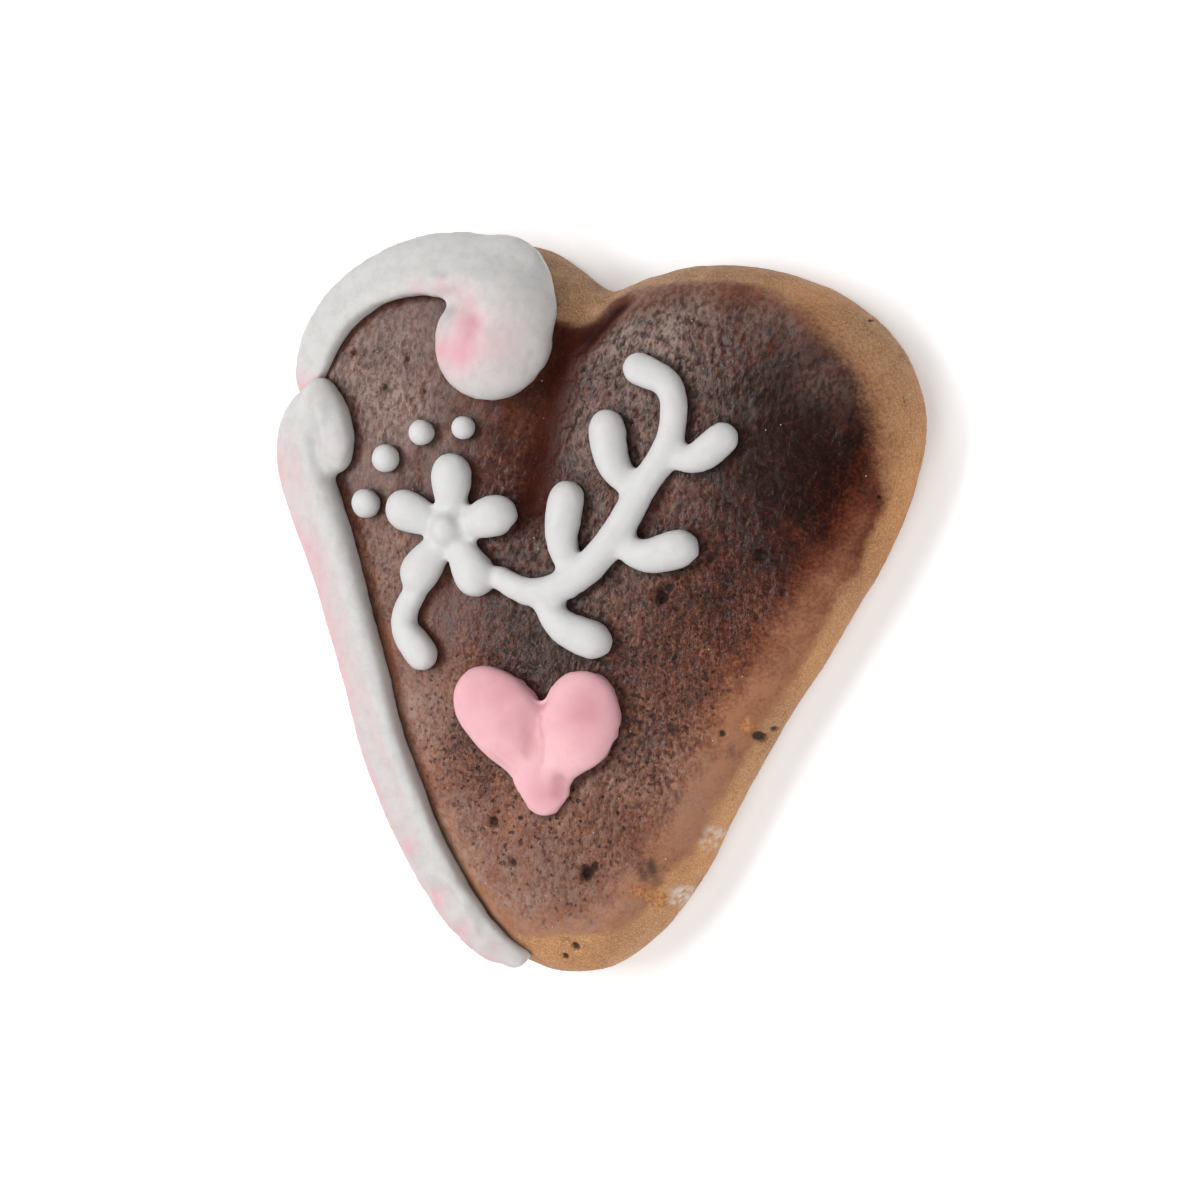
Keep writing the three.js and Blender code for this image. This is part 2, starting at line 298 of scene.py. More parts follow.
biscuit = {                                     # mm; spots are x, y, reach and strength, in plan
    "voxel": 0.38,
    "undersideShare": 0.08,                     # triangles kept on the underside
    "rimHeight": 3.8,                           # where the solid is widest
    "centreY": 6.0,                             # angles are taken about x 0 and this
    "meanRadius": 42,                           # of the wall
    "topHeights": (3.5, 8.5),                   # the top side sets in between these
    "swell": 0.36,
    "dome": [(22, 29, 12, 0.6)],
    # the trough down from the notch, and the crease beside it
    "valley": [(-2.4, 41.5), (-2.7, 37.5), (-3.4, 33.9), (-3.9, 29.5), (-4.5, 25.1), (-4.5, 20.8),
               (-5.4, 14.4)],
    "valleyWidth": 3.4,
    "valleyDepth": 0.3,
    "fold": [(5.4, 45.0), (3.8, 43.2), (2.3, 41.6), (0.8, 39.9), (-0.6, 37.8), (-1.4, 36.2)],
    "foldWidth": 1.5,
    "foldDepth": 0.75,
    "foldRidge": [(3.2, 44.6), (1.2, 42.6), (-0.4, 40.7), (-1.8, 38.2)],
    "foldRidgeWidth": 1.2,
    "foldRidgeHeight": 0.3,
    "foldStart": (35, 39), "foldEnd": (43.5, 46),   # y where the crease sets in and runs out
    # leathery skin, and skin full of fine pores
    "rough": [(12, 31, 18, 1.0), (2, 10, 17, 0.95), (22, 10, 14, 0.85), (-3, -7, 10, 0.95),
              (37, 22, 12, 0.45), (-33, 30, 11, 0.35), (-30, 6, 10, 0.35), (14, -4, 13, 0.75),
              (-9, -21, 8, 0.85), (17, -19, 10, 0.9), (9, -31, 8, 0.45)],
    "leather": 0.46,
    "lean": (0.5, 0.866),                       # the way its crests run
    "grain": 0.07,
    "porous": [(2, -26, 22, 1.0), (18, -8, 16, 0.9), (-33, 30, 12, 0.3), (-28, 0, 11, 0.4),
               (-12, -20, 14, 0.9), (28, -2, 11, 0.7)],
    "pore": 0.34,
    "leftLobe": (-33, 30, 11, 4),               # x, y, reach and power of a patch of coarser grain
    "leftGrain": 0.15,
    # where the glaze stays back from the rim, runs on, and thins out slowly
    "bare": [(5, -53, 11, 6.0), (-4, 45.5, 6.5, 6.5), (21, -39, 5, 2.2), (16, 52, 10, 2.0)],
    "full": [(4.0, 43.0, 3.2, 3.0)],
    "thinLobe": (42, 38, 16, 4),                # x, y, reach and power
    "thinNotch": (-4, 43, 6),
    # how light the glaze is, with lighter and darker spots that are partly painted sheen and
    # painted shade, its painted pale sheen, clouds and matt places
    "tone": 0.26,
    # lighter spots: partly painted sheen on the left lobe and the left strip
    "pale": [(-34, 30, 11, 0.12), (-32, 6, 10, 0.25), (-2, -47, 6, 0.14)],
    # darker spots: partly painted shade on the far right of the right lobe
    "deep": [(-1, -7, 9, 0.3), (35, 26, 11, 0.35)],
    # painted sheen: where the glaze is painted paler, standing in for the reflection of the lamps
    "sheenSpots": [(-33, 29, 14, 1.0), (10, 38, 12, 1.0), (2, 26, 9, 0.6), (15, 45, 8, 0.8),
             (15, 27, 12, 0.5), (28, 45, 9, 0.5), (2, 8, 14, 0.5), (-3, -7, 9, 0.1),
             (-30, 3, 10, 0.6), (-24, -20, 9, 0.95), (-14, -38, 9, 1.0), (-2, -43, 10, 0.9),
             (30, 45, 7, 0.55), (38, 36, 6, 0.35), (6, -40, 14, 0.6), (21, -24, 8, 0.6),
             (12, -37, 8, 0.5), (8, -26, 16, 0.5)],
    "smoky": [(-9, -22, 7, 0.2), (0, -8, 9, 0.12), (14, -14, 12, 0.14), (36, -8, 8, 0.1),
              (28, -20, 7, 0.15), (21, -31, 7, 0.15)],
    "dull": [(42, 20, 13, 0.9), (30, 24, 12, 0.6), (-4, 6, 9, 0.4), (26, 8, 10, 0.4)],
    # where the bare crust is golden
    "golden": [(24, -33, 20, 1.0), (5, -53, 14, 1.0), (50, 18, 22, 0.9), (40, -5, 15, 0.9),
               (34, 48, 9, 0.7)],
    # single marks
    "bruise": [(17.0, -36.2, 2.6, 1.0), (28.4, -17.8, 2.0, 0.6)],
    "pits": [                                   # x, y, radius and depth
        (16.3, 2.9, 0.9, 1.3), (17.4, 4.3, 0.6, 0.5), (19.0, 7.1, 0.35, 0.7), (18.6, 6.1, 0.3, 0.5),
        (8.1, -37.7, 1.0, 1.3), (9.2, -36.7, 0.7, 0.6), (-7.6, -32.1, 0.8, 0.8),
        (-3.9, -37.7, 0.6, 0.6), (31.1, -15.6, 0.8, 0.9), (26.7, -15.5, 0.5, 0.5),
        (32.8, -14.5, 0.5, 0.5), (31.3, -19.9, 0.5, 0.4), (30.7, 10.1, 0.9, 0.8),
        (34.3, 5.3, 0.6, 0.5), (6.5, -48.6, 0.6, 0.5), (4.6, -50.3, 0.5, 0.4),
        (-38.1, 34.3, 0.5, 0.5), (-28.1, 33.9, 0.4, 0.4), (-31.4, 29.6, 0.4, 0.4),
        (-24.6, 29.4, 0.4, 0.4), (-3.0, -31.0, 0.4, 0.4), (13.2, -30.6, 0.4, 0.4),
        (41.4, 44.2, 0.28, 0.4), (46.4, 19.7, 0.3, 0.3),
    ],
    "pitLip": 0.16,                             # height of the lip, as a share of the depth
    "flakes": [(15.1, -39.2, 1.2), (17.0, -39.8, 1.3), (18.6, -40.6, 1.4), (20.6, -41.0, 1.2),
               (30.3, -13.4, 1.3), (29.4, -14.6, 0.8)],         # x, y and reach
    "flakeDepth": 0.35,
    "crumb": [(-5.2, 51.2, 0.9, 0.9)],
    "sugar": [(20.8, -39.3, 1.3, 1.0), (20.1, -40.7, 0.9, 0.9), (24.9, -30.0, 1.0, 0.7),
              (24.0, -31.6, 0.8, 0.7), (-4.8, 43.4, 0.9, 0.5)],
    "sugarHeight": 0.3,
    "fleckSize": (2.6, 0.55),                   # along and across the wall
    "fleckDepth": 0.10,
}


def rimLine():                                  # the widest ring of the solid, in order
    at = points(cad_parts["gingerbread"])
    level = np.abs(at[:, 2] - biscuit["rimHeight"]) < 0.02
    ring = np.unique(at[level][:, :2].round(2), axis=0)
    order = np.argsort(np.arctan2(ring[:, 1] - biscuit["centreY"], ring[:, 0]))
    return np.vstack([ring[order], ring[order[:1]]]).tolist()


def pourGlaze(at, inset, top):                  # 1 under the glaze, 0 on bare dough
    reach = inset + 0.8 * noiseAt(at, 8, 1) + 0.5 * noiseAt(at, 2.2, 2) + 0.35 * noiseAt(at, 0.9, 3)
    reach -= heaped(at, biscuit["bare"])
    reach += heaped(at, biscuit["full"])
    soft = np.maximum(patch(at, *biscuit["thinLobe"]), 0.6 * patch(at, *biscuit["thinNotch"]))
    return np.clip((reach - 0.5 - 0.7 * soft) / (1.5 + 5.0 * soft), 0, 1) * top


def leatherCrests(at):                          # short crests that run up towards the notch
    lean = np.array(biscuit["lean"])
    along, across = at[:, :2] @ lean, at[:, 0] * lean[1] - at[:, 1] * lean[0]
    warp = 0.4 * noiseAt(at, 2.2, 4)
    skin = np.stack([across + warp, 0.66 * along - warp, at[:, 2]], 1)
    crests = 0.60 - 1.4 * np.abs(noiseAt(skin, 1.15, 5)) - 1.3 * np.abs(noiseAt(skin, 0.75, 6))
    return np.clip(crests + 0.3 * noiseAt(at, 4.5, 7), -1.1, 0.8)


def finePores(at):                              # about two cells in five hold a pore
    away, lot = cellsAt(at * [1, 1, 0.4], 1.25, 8)
    size = np.where(lot > 0.62, 0.08 + 0.24 * lot, 0.0)
    return 1 - fade(away, 0.5 * size, size + 0.02)


def pressPits(at, top, lift, dark):
    uneven = 0.4 * noiseAt(at, 0.9, 12)
    high = fade(at[:, 2], 3.0, 6.0)
    for x, y, radius, depth in biscuit["pits"]:
        away = np.hypot(at[:, 0] - x, at[:, 1] - y) / radius + uneven * min(1, radius)
        hole = np.exp(-np.clip(away, 0, 9) ** 2.6) * high
        lip = np.exp(-((away - 1.7) / 0.5) ** 2) * top
        lift += biscuit["pitLip"] * depth * lip - depth * hole
        # painted shade in the pits
        dark = np.maximum(dark, 1.2 * hole)
    return lift, dark


def wallFlecks(at, inset):                      # small flecks drawn out along the edge
    turn = np.arctan2(at[:, 1] - biscuit["centreY"], at[:, 0])
    long, wide = biscuit["fleckSize"]
    band = np.stack([turn * biscuit["meanRadius"] / long, (at[:, 2] + inset) / wide,
                     np.zeros_like(turn)], 1)
    return fade(noiseAt(band, 1.0, 14), 0.34, 0.62)


def cocoaTone(at, inset):                       # 0 dark cocoa, 1 light brown where it is thin
    south = -at[:, 1]
    tone = biscuit["tone"] + 0.29 * fade(south, -6, 16)
    tone += 0.34 * (1 - fade(inset, 4, 12)) * fade(south, -26, 4) + 0.26 * (1 - fade(inset, 3, 8))
    # lighter and darker spots, partly painted sheen and painted shade
    tone += heaped(at, biscuit["pale"]) - heaped(at, biscuit["deep"])
    tone -= patches(at, biscuit["smoky"], 2)
    return tone + 0.15 * noiseAt(at, 6, 17) + 0.12 * noiseAt(at, 2.4, 18)


def bakeBiscuit():
    piece = copyOf("gingerbread", "gingerbreadDough")
    remesh(piece, biscuit["voxel"], 2)
    smooth(piece, 5)
    at, out = points(piece), normals(piece)
    y, z = at[:, 1], at[:, 2]                   # views, so they follow the points when these move
    inset = fromLine(at, rimLine())
    top = fade(z, *biscuit["topHeights"]) * fade(out[:, 2], 0.05, 0.5)
    under = fade(-out[:, 2], 0.3, 0.8)
    glaze = pourGlaze(at, inset, top)

    valley = groove(at, biscuit["valley"], biscuit["valleyWidth"]) * top
    taper = fade(y, *biscuit["foldStart"]) * (1 - fade(y, *biscuit["foldEnd"]))
    fold = groove(at, biscuit["fold"], biscuit["foldWidth"]) * top * taper
    foldRidge = groove(at, biscuit["foldRidge"], biscuit["foldRidgeWidth"]) * top * taper

    calm = fade(inset, 3.5, 9)                  # the rim of the top is smooth
    rough = patches(at, biscuit["rough"]) * (1 - 0.8 * groove(at, biscuit["valley"], 2.3))
    rough = rough * (1 - fold) * calm * glaze
    porous = patches(at, biscuit["porous"]) * fade(inset, 3, 10) * glaze
    crests = leatherCrests(at)
    pores = finePores(at) * porous

    lift = biscuit["swell"] * noiseAt(at, 11, 9, 3) * (1 - under) + heaped(at, biscuit["dome"])
    lift += 0.22 * noiseAt(at, 3.2, 10) * np.maximum(rough, 0.6 * porous)
    lift += biscuit["leather"] * crests * rough
    lift += biscuit["grain"] * noiseAt(at, 0.9, 11) * (0.25 + 0.75 * np.maximum(rough, porous))
    lift -= biscuit["pore"] * pores
    lift += biscuit["leftGrain"] * noiseAt(at, 1.9, 33) * patch(at, *biscuit["leftLobe"]) * glaze
    lift += (biscuit["foldRidgeHeight"] * foldRidge - biscuit["foldDepth"] * fold
             - biscuit["valleyDepth"] * valley)
    lift += heaped(at, biscuit["crumb"]) * fade(z, 4, 7)
    # painted shade in the pores and in the hollows between the crests
    dark = np.maximum(pores, fade(-crests, 0.0, 0.7) * rough * 0.8)
    lift, dark = pressPits(at, top, lift, dark)
    # painted shade in the crease at the notch
    dark = np.maximum(dark, 0.6 * fold)
    dark = np.maximum(dark, patches(at, biscuit["bruise"], 2) * (0.7 + 0.6 * noiseAt(at, 1.6, 31)))

    torn = sum(patch(at, *spot) for spot in biscuit["flakes"]) * top
    torn = np.clip(torn * (0.7 + 0.9 * noiseAt(at, 1.2, 13)), 0, 1)
    sugar = patches(at, biscuit["sugar"], 4) * fade(noiseAt(at, 0.9, 32), -0.5, 0.4)
    sugar = sugar * fade(z, 2.5, 4.5) * (1 - fade(z, 7, 9))     # only round the rim
    lift += biscuit["sugarHeight"] * sugar - biscuit["flakeDepth"] * torn
    flecks = wallFlecks(at, inset) * (1 - glaze) * (1 - under)
    lift += 0.05 * noiseAt(at, 0.8, 15) * (1 - glaze) - biscuit["fleckDepth"] * flecks

    # the underside keeps to the tray: it only gets hollows, never bumps
    lift = np.where(out[:, 2] < -0.7, -np.abs(0.12 * noiseAt(at, 2.4, 16)), lift)
    at += out * lift[:, None]
    at[:, 2] = np.maximum(z, 0)
    setPoints(piece, at)

    # painted sheen spots, kept out of the trough and the crease
    haze = patches(at, biscuit["sheenSpots"], 2) * (0.8 + 0.5 * noiseAt(at, 5, 19))
    masks = {
        "tone": cocoaTone(at, inset),
        "haze": haze * (1 - valley) * (1 - fold),
        "glaze": glaze,
        "rough": rough,
        "porous": porous,
        # trough and crease: partly the glaze's own dark red, partly painted shade
        "valley": valley * fade(-y, -43, -36) + fold,
        "dull": np.maximum(valley, fold) + patches(at, biscuit["dull"], 2),
        "dark": dark,
        "crest": fade(crests, 0.1, 0.7) * rough,
        "flecks": flecks,
        "torn": torn,
        "golden": patches(at, biscuit["golden"], 2),
        "under": under,
        # painted contact shadow along the foot of the icing
        "contact": nearIcing(at),
        "sugar": sugar,
    }
    for name, values in masks.items():
        store(piece, name, np.clip(values, 0, 1))
    thinUnderside(piece, at)
    return piece


def nearIcing(at):                              # 1 where the dough touches the icing, for the painted contact shadow
    shape = bmesh.new()
    for name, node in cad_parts.items():
        if name != "gingerbread":
            shape.from_mesh(node.data)
    tree = BVHTree.FromBMesh(shape)
    shape.free()
    lowest, search = 7, 2 * mm                  # height that is looked at, and how far round
    away = np.full(len(at), 9.0)
    for i in np.flatnonzero(at[:, 2] > lowest):
        found = tree.find_nearest(Vector(at[i]) * mm, search)
        if found[3] is not None:
            away[i] = found[3] / mm
    return 1 - fade(away, 0.35, 1.25)


def thinUnderside(piece, at):                   # fewer triangles where it is flat
    group = piece.vertex_groups.new(name="underside")
    low = np.flatnonzero(at[:, 2] < 1.0)
    group.add(low.tolist(), 1.0, "REPLACE")
    share = len(low) / len(at)
    step = piece.modifiers.new("thin", "DECIMATE")
    step.vertex_group = "underside"
    step.ratio = 1 - share * (1 - biscuit["undersideShare"])
    evaluated(piece)
    piece.vertex_groups.clear()
    at = points(piece)
    at[:, 2] = np.maximum(at[:, 2], 0)
    setPoints(piece, at)


doughPiece = bakeBiscuit()
print("biscuit", sum(len(p.vertices) - 2 for p in doughPiece.data.polygons), "triangles")


doughLook = {
    # bare crust
    "crustDark": paint(146, 112, 88), "crustLight": paint(176, 140, 110),
    "crustDusk": paint(138, 98, 70),
    "goldenLight": paint(208, 150, 100), "goldenDark": paint(162, 108, 70),
    "layer": paint(140, 92, 56),
    "fleck": paint(112, 74, 48), "freckle": paint(120, 80, 50),
    "grainLight": paint(222, 176, 122), "grainDark": paint(140, 94, 56),
    "flakeLight": paint(206, 142, 78), "flakeDark": paint(150, 88, 44),
    "underside": paint(136, 90, 58),
    # glaze, from dark to thin
    "cocoa": [(0.0, paint(28, 8, 4)), (0.2, paint(57, 21, 11)), (0.45, paint(94, 44, 26)),
              (0.75, paint(132, 80, 54)), (1.0, paint(162, 108, 76))],
    # colour of the painted sheen
    "sheen": paint(154, 131, 119),
    "cocoaGrain": paint(162, 98, 60),
    # dark red of the trough and crease, partly painted shade
    "trough": paint(58, 22, 14),
    # colours of painted shade for the pits, the hollows between crests and the pores
    "hollow": paint(26, 10, 7), "pocket": paint(30, 11, 7), "pore": paint(28, 13, 10),
    # colour of the painted contact shadow
    "contact": paint(30, 14, 10),
    "sugar": paint(228, 224, 220),
    "gloss": 0.28, "mattGloss": 0.04, "mattRoughness": 0.75,
    "bumpHeight": 0.16,                         # mm
}


def bareCrust(f, broad, mottle, fine, grain):
    beds = f.add("Mapping", {}, {"Vector": f.place(), "Scale": (0.3, 0.3, 1.5)})
    layers = f.noise(0.4, 4, 0.7, beds)
    crust = f.mix(f.fade(mottle, 0.3, 0.7), doughLook["crustDark"], doughLook["crustLight"])
    crust = f.mix(f.fade(broad, 0.45, 0.7) * 0.5, crust, doughLook["crustDusk"])
    golden = f.mix(f.fade(broad, 0.42, 0.68) * 0.5, doughLook["goldenLight"],
                   doughLook["goldenDark"])
    crust = f.mix(f.attribute("golden") * 0.8, crust, golden)
    crust = f.mix(f.fade(layers, 0.46, 0.66) * 0.28, crust, doughLook["layer"])
    crust = f.mix(f.attribute("flecks") * 0.7, crust, doughLook["fleck"])
    crust = f.mix(f.fade(fine, 0.54, 0.72) * 0.3, crust, doughLook["freckle"])
    crust = f.mix(f.fade(grain, 0.5, 0.62) * 0.5, crust, doughLook["grainLight"])
    return f.mix(f.fade(1 - grain, 0.52, 0.64) * 0.45, crust, doughLook["grainDark"])


def cocoaGlaze(f, rough, porous, mottle, grain, leather):
    gritty = f.noise(0.55, 3, 0.65)
    shade = f.attribute("tone") + (gritty - 0.5) * (0.5 + 0.9 * rough + 0.5 * porous)
    shade = shade + (mottle - 0.5) * 0.6
    brown = f.add("ValToRGB", {"stops": doughLook["cocoa"]}, {"Fac": shade})
    # painted sheen, laid on strongest along the crests of the leathery skin
    crest = 0.3 + 0.35 * f.attribute("crest") + 0.6 * f.fade(leather, 0.42, 0.6)
    brown = f.mix(f.attribute("haze") * crest * 0.85, brown, doughLook["sheen"])
    return f.mix(f.fade(grain, 0.54, 0.66) * porous * 0.45, brown, doughLook["cocoaGrain"])


def doughFinish():
    f = Finish("glazedDough")
    glaze, rough, porous = f.attribute("glaze"), f.attribute("rough"), f.attribute("porous")
    dark, valley = f.attribute("dark"), f.attribute("valley")
    broad = f.noise(14, 3, 0.6)
    mottle = f.noise(2.2, 5, 0.65)
    fine = f.noise(0.5, 3, 0.6)
    grain = f.noise(0.26, 3, 0.7)
    skin = f.add("Mapping", {}, {"Vector": f.place(), "Rotation": (0, 0, math.radians(-30)),
                                 "Scale": (1, 0.62, 1)})
    leather = f.noise(0.8, 2, 0.62, skin)
    # the low places of the leathery skin, for painted shade
    pocket = 1 - f.fade(leather, 0.36, 0.50)
    dots = f.cells(0.95) + (f.noise(1.1, 3, 0.6) - 0.5) * 1.5
    pores = (1 - f.fade(dots, 0.06, 0.24)) * porous
    specks = (1 - f.fade(f.cells(2.6), 0.025, 0.05)) * f.fade(broad, 0.4, 0.55) * glaze

    # the edge of the glaze is ragged
    edge = glaze + (mottle - 0.5) * 0.45 + (fine - 0.5) * 0.6 + (grain - 0.5) * 0.5
    colour = f.mix(f.fade(edge, 0.08, 0.92), bareCrust(f, broad, mottle, fine, grain),
                   cocoaGlaze(f, rough, porous, mottle, grain, leather))
    # trough and crease colour, partly painted shade
    colour = f.mix(valley * 0.8, colour, doughLook["trough"])
    torn = f.fade(f.attribute("torn") + (fine - 0.5) * 2.2 + (grain - 0.5) * 1.2, 0.35, 0.7)
    flake = f.mix(f.fade(fine, 0.42, 0.6), doughLook["flakeLight"], doughLook["flakeDark"])
    colour = f.mix(torn * 0.6, colour, flake)
    # painted shade in pits, pores, crest hollows and the crease, plus the dark bruise marks
    hollow = f.fade(dark + (fine - 0.5) * 0.5, 0.2, 0.85)
    colour = f.mix(hollow * 0.85, colour, doughLook["hollow"])
    # painted shade in the wrinkle pockets
    colour = f.mix(pocket * rough * 0.75, colour, doughLook["pocket"])
    # painted shade in the pores
    colour = f.mix(pores * 0.85, colour, doughLook["pore"])
    # painted contact shadow where the icing sits on the dough
    colour = f.mix(f.attribute("contact") * 0.7, colour, doughLook["contact"])
    colour = f.mix(specks * 0.6 + f.attribute("sugar") * 0.75, colour, doughLook["sugar"])
    colour = f.mix(f.attribute("under") * 0.7, colour, doughLook["underside"])

    height = leather * (0.25 + 1.6 * rough + 1.1 * porous) + fine * 0.25 - pores * 0.9
    bump = f.bump(height, 1.0, doughLook["bumpHeight"])
    roughness = 0.60 - 0.28 * glaze + 0.06 * fine - 0.06 * valley + 0.2 * dark + 0.06 * porous
    f.set({"Base Color": colour, "Roughness": roughness, "Normal": bump,
           "Specular IOR Level": doughLook["gloss"]})
    matt = f.add("BsdfPrincipled", {}, {"Base Color": colour, "Normal": bump,
                                        "Roughness": doughLook["mattRoughness"],
                                        "Specular IOR Level": doughLook["mattGloss"]})
    glossy = Wire(f, f.shader.outputs[0])
    both = f.add("MixShader", {}, {0: f.attribute("dull") * 0.9, 1: glossy, 2: matt})
    f.join(f.tree.nodes["Material Output"].inputs["Surface"], both)
    return f.material


finishPiece(doughPiece, "gingerbread", doughFinish())
doughTree = BVHTree.FromObject(doughPiece, bpy.context.evaluated_depsgraph_get())


icing = {
    "white": paint(205, 203, 201),
    "plain": paint(212, 211, 210),
    "rose": paint(242, 191, 196),
    "whiteBlush": paint(226, 152, 164),
    # darker pink for the painted shade on the heart
    "roseShade": paint(204, 132, 144),
    "cloudShade": 0.88, "recessShadeShare": 0.7,       # shares of the base colour's light, for darker clouds and for painted shade in recesses
    "bumpHeight": 0.1,                          # mm
    "glow": 0.25,                               # light that passes into the sugar
    "glowReach": 1.2,                           # mm
    "sink": 0.25,                               # mm that the foot goes into the glaze
}


def seat(piece):                                # settles the flat foot onto the dough
    at, out = points(piece), normals(piece)
    weight = fade(-out[:, 2], 0.25, 0.75)
    for i in np.flatnonzero(weight > 0):
        spot, away, _, _ = doughTree.find_nearest(Vector(at[i]) * mm)
        goal = np.array((spot - away * icing["sink"] * mm)[:]) / mm
        at[i] += weight[i] * (goal - at[i])
    setPoints(piece, at)


def pipe(node, name, voxel, rounds, relief):    # seated coarse, then refined and given its relief
    piece = copyOf(node, name)
    remesh(piece, 1.6 * voxel, 1)
    smooth(piece, 4)
    seat(piece)
    smooth(piece, 4)
    remesh(piece, voxel, 0)
    smooth(piece, rounds)
    relief(piece)
    print(name, len(piece.data.polygons), "quads")
    return piece


def icingFinish(name, base, blush, cloudy):
    f = Finish(name)
    cloud = f.noise(1.9, 4, 0.66)
    fine = f.noise(0.5, 3, 0.6)
    clouded = tuple(icing["cloudShade"] * c for c in base)
    grey = tuple(icing["recessShadeShare"] * c for c in base)
    colour = f.mix(f.fade(cloud, 0.38, 0.68) * cloudy, base, clouded)
    # pink streaks on the white icing, painted shade on the rose heart
    colour = f.mix(f.attribute("blush"), colour, blush)
    # painted shade in craters, grooves and dents
    colour = f.mix(f.attribute("grey"), colour, grey)
    f.set({"Base Color": colour, "Roughness": 0.5 + 0.12 * cloud,
           "Normal": f.bump(fine + cloud * 2, 0.16, icing["bumpHeight"]),
           "Subsurface Weight": icing["glow"],
           "Subsurface Radius": (1.0, 0.75, 0.6),
           "Subsurface Scale": icing["glowReach"] * mm})
    return f.material


whiteIcing = icingFinish("whiteIcing", icing["white"], icing["whiteBlush"], 0.8)
plainIcing = icingFinish("plainIcing", icing["plain"], icing["whiteBlush"], 0.3)
roseIcing = icingFinish("roseIcing", icing["rose"], icing["roseShade"], 0.4)


def upward(out):                                # 1 on the side that shows from above
    return fade(out[:, 2], 0.1, 0.6)


scroll = {                                      # the arc round the left lobe, with its curl
    "corner": [(-20.6, 42.3, 1.7, 1.3)],        # hollow between the arc and the curl
    "furrow": [(-20.5, 43.2), (-19.5, 42.8), (-17.2, 42.5), (-15.4, 41.2), (-14.4, 39.2),
               (-14.5, 36.9), (-15.8, 34.9), (-17.6, 33.5)],
    "furrowDepth": 0.35,
    "curlEnd": [(-18.0, 39.2, 2.0, 0.3)],
    "crater": [(-23.4, 46.7), (-21.8, 46.5)],
    "craterDepth": 0.25,
    "startPull": (-2.0, -5.5, -1.0),            # how far the start is drawn out over the hook
    "blush": [(-26.4, 43.9, 1.8, 0.3), (-22.0, 44.4, 1.8, 0.4), (-18.8, 43.6, 1.9, 0.5),
              (-16.6, 41.8, 2.3, 0.65), (-15.6, 39.4, 2.8, 0.85), (-15.8, 36.8, 3.5, 1.0),
              (-17.4, 35.0, 3.5, 1.0), (-20.0, 35.2, 2.9, 0.8), (-21.4, 37.2, 2.2, 0.5),
              (-11.6, 37.0, 5.0, 0.3)],
}


def scrollRelief(piece):
    at, out = points(piece), normals(piece)
    up = upward(out)
    furrow, crater = groove(at, scroll["furrow"], 1.8), groove(at, scroll["crater"], 0.8) * up
    lift = heaped(at, scroll["curlEnd"]) * up - scroll["furrowDepth"] * furrow * up
    lift -= heaped(at, scroll["corner"]) + scroll["craterDepth"] * crater
    lift += 0.10 * noiseAt(at, 3.2, 20) + 0.07 * noiseAt(at, 1.3, 21)
    start = (1 - fade(at[:, 1], 28.5, 38)) * (1 - fade(at[:, 0], -42.5, -38.5))
    setPoints(piece, at + out * lift[:, None] + start[:, None] * scroll["startPull"])
    blush = patches(at, scroll["blush"], 2) * (0.8 + 0.4 * noiseAt(at, 3.0, 22))
    blush = np.maximum(blush, 0.8 * fade(start, 0.35, 0.9))
    store(piece, "blush", np.clip(blush, 0, 1))
    # painted shade in the crater
    store(piece, "grey", 0.5 * crater)


run = {                                         # the hook and the long run down to the point
    "hookGroove": [(-41.8, 27.4), (-41.6, 25.6), (-41.5, 23.8), (-41.3, 21.6), (-41.3, 19.0),
                   (-40.3, 16.7), (-38.9, 15.2)],
    "hookGrooveDepth": 0.15,
    "hookRidge": [(-40.3, 24.8), (-40.1, 21.6), (-40.0, 19.1), (-39.0, 17.0)],
    "hookRidgeHeight": 0.2,
    "hookTop": [(-41.6, 26.2, 2.4, 0.7)],
    "twists": [[(-16.4, -40.4), (-13.4, -41.6), (-11.4, -43.5), (-10.7, -45.0)],
               [(-11.4, -45.6), (-10.0, -47.0), (-9.2, -48.1)]],
    "twistHeight": 0.35,
    "kinks": [[(-15.6, -43.2), (-13.6, -43.4), (-12.4, -45.2)], [(-11.8, -48.6), (-10.6, -47.2)]],
    "kinkDepth": 0.35,
    "outward": (-0.9, -0.43),                   # the way its outer side faces
    "blush": [(-15.0, -44.1, 1.9, 0.8), (-10.8, -48.2, 1.6, 0.9), (-6.4, -51.6, 2.2, 0.6),
              (-20.8, -37.4, 1.8, 0.6)],
}


def runRelief(piece):
    at, out = points(piece), normals(piece)
    up = upward(out)
    lift = 0.10 * noiseAt(at, 3.4, 23) + 0.05 * noiseAt(at, 1.4, 24)
    lift += (run["hookRidgeHeight"] * groove(at, run["hookRidge"], 0.9)
             - run["hookGrooveDepth"] * groove(at, run["hookGroove"], 1.2)) * up
    lift += heaped(at, run["hookTop"]) * up
    lift += 0.15 * fade(-at[:, 1], 36, 41) * noiseAt(at, 3.0, 25)       # lumpier near the point
    for line in run["twists"]:
        lift += run["twistHeight"] * groove(at, line, 1.0) * up
    for line in run["kinks"]:
        lift -= run["kinkDepth"] * groove(at, line, 1.1)
    setPoints(piece, at + out * lift[:, None])
    outer = fade(out[:, :2] @ run["outward"], 0.1, 0.75)
    blush = 0.6 * outer * fade(noiseAt(at, 7, 26, 2), -1.0, 0.3) * fade(-at[:, 1], -24, -17)
    blush = np.maximum(blush, patches(at, run["blush"], 2) * fade(outer + 0.3, 0.1, 0.6))
    store(piece, "blush", np.clip(blush, 0, 1))
    # painted shade in the hook's groove
    store(piece, "grey", groove(at, run["hookGroove"], 1.6) * up * 0.2)


